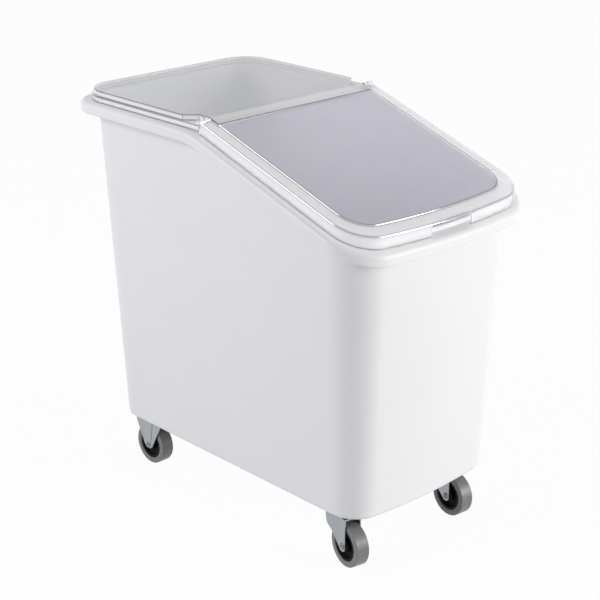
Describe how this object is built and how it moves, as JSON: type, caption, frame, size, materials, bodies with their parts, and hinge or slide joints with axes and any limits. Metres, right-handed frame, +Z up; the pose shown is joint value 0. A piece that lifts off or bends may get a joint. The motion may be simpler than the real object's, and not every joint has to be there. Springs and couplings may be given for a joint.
{
  "type": "rolling flour bin",
  "caption": "Slant-top storage bin for flour on swivel and rigid casters, with a clear lift-off rear cover and a clear front cover that hinges back.",
  "frame": {"origin": "on the ground under the middle of the bounding box", "axes": "+Z up, -Y towards the low front with the finger notch, X across the width"},
  "size_m": [0.42, 0.712, 0.7105],
  "materials": {
    "bin_white": "satin moulded",
    "cover_clear": "clear",
    "zinc": "zinc plated",
    "steel": "plain",
    "hub_black": "moulded",
    "tyre_grey": "matte rubber"
  },
  "bodies": {
    "bin": {"bin_body": "bin_white", "swivel_plate_left": "zinc", "kingpin_left": "steel", "rigid_fork_left": "zinc", "swivel_plate_right": "zinc", "kingpin_right": "steel", "rigid_fork_right": "zinc", "plate_bolts_front_left": "steel", "plate_inserts_front_left": "steel", "plate_bolts_front_right": "steel", "plate_inserts_front_right": "steel", "plate_bolts_rear_left": "steel", "plate_inserts_rear_left": "steel", "axle_rear_left": "steel", "axle_nut_rear_left": "steel", "bush_rear_left": "steel", "plate_bolts_rear_right": "steel", "plate_inserts_rear_right": "steel", "axle_rear_right": "steel", "axle_nut_rear_right": "steel", "bush_rear_right": "steel"},
    "rear_cover": {"rear_cover": "cover_clear", "hinge_pin_left": "cover_clear", "hinge_pin_right": "cover_clear"},
    "front_cover": {"front_cover": "cover_clear"},
    "swivel_left": {"swivel_fork_left": "zinc", "swivel_balls_left": "steel", "axle_front_left": "steel", "axle_nut_front_left": "steel", "bush_front_left": "steel"},
    "swivel_right": {"swivel_fork_right": "zinc", "swivel_balls_right": "steel", "axle_front_right": "steel", "axle_nut_front_right": "steel", "bush_front_right": "steel"},
    "wheel_front_left": {"hub_front_left": "hub_black", "tyre_front_left": "tyre_grey"},
    "wheel_front_right": {"hub_front_right": "hub_black", "tyre_front_right": "tyre_grey"},
    "wheel_rear_left": {"hub_rear_left": "hub_black", "tyre_rear_left": "tyre_grey"},
    "wheel_rear_right": {"hub_rear_right": "hub_black", "tyre_rear_right": "tyre_grey"}
  },
  "joints": [
    {"name": "cover_lift", "type": "slide", "parent": "bin", "child": "rear_cover", "axis": [0, 0, 1], "range_m": [0, 0.15]},
    {"name": "front_cover_hinge", "type": "hinge", "parent": "rear_cover", "child": "front_cover", "pos_m": [0, 0.02, 0.7045], "axis": [-1, 0, 0], "range_deg": [0, 165]},
    {"name": "swivel_left", "type": "hinge", "parent": "bin", "child": "swivel_left", "pos_m": [-0.126, -0.238, 0.09], "axis": [0, 0, 1], "continuous": true},
    {"name": "swivel_right", "type": "hinge", "parent": "bin", "child": "swivel_right", "pos_m": [0.126, -0.238, 0.09], "axis": [0, 0, 1], "continuous": true},
    {"name": "wheel_front_left", "type": "hinge", "parent": "swivel_left", "child": "wheel_front_left", "pos_m": [-0.13077, -0.26254, 0.0375], "axis": [0.9816, -0.1908, 0], "continuous": true},
    {"name": "wheel_front_right", "type": "hinge", "parent": "swivel_right", "child": "wheel_front_right", "pos_m": [0.12339, -0.26286, 0.0375], "axis": [0.9945, -0.1045, 0], "continuous": true},
    {"name": "wheel_rear_left", "type": "hinge", "parent": "bin", "child": "wheel_rear_left", "pos_m": [-0.126, 0.253, 0.0375], "axis": [1, 0, 0], "continuous": true},
    {"name": "wheel_rear_right", "type": "hinge", "parent": "bin", "child": "wheel_rear_right", "pos_m": [0.126, 0.253, 0.0375], "axis": [1, 0, 0], "continuous": true}
  ]
}
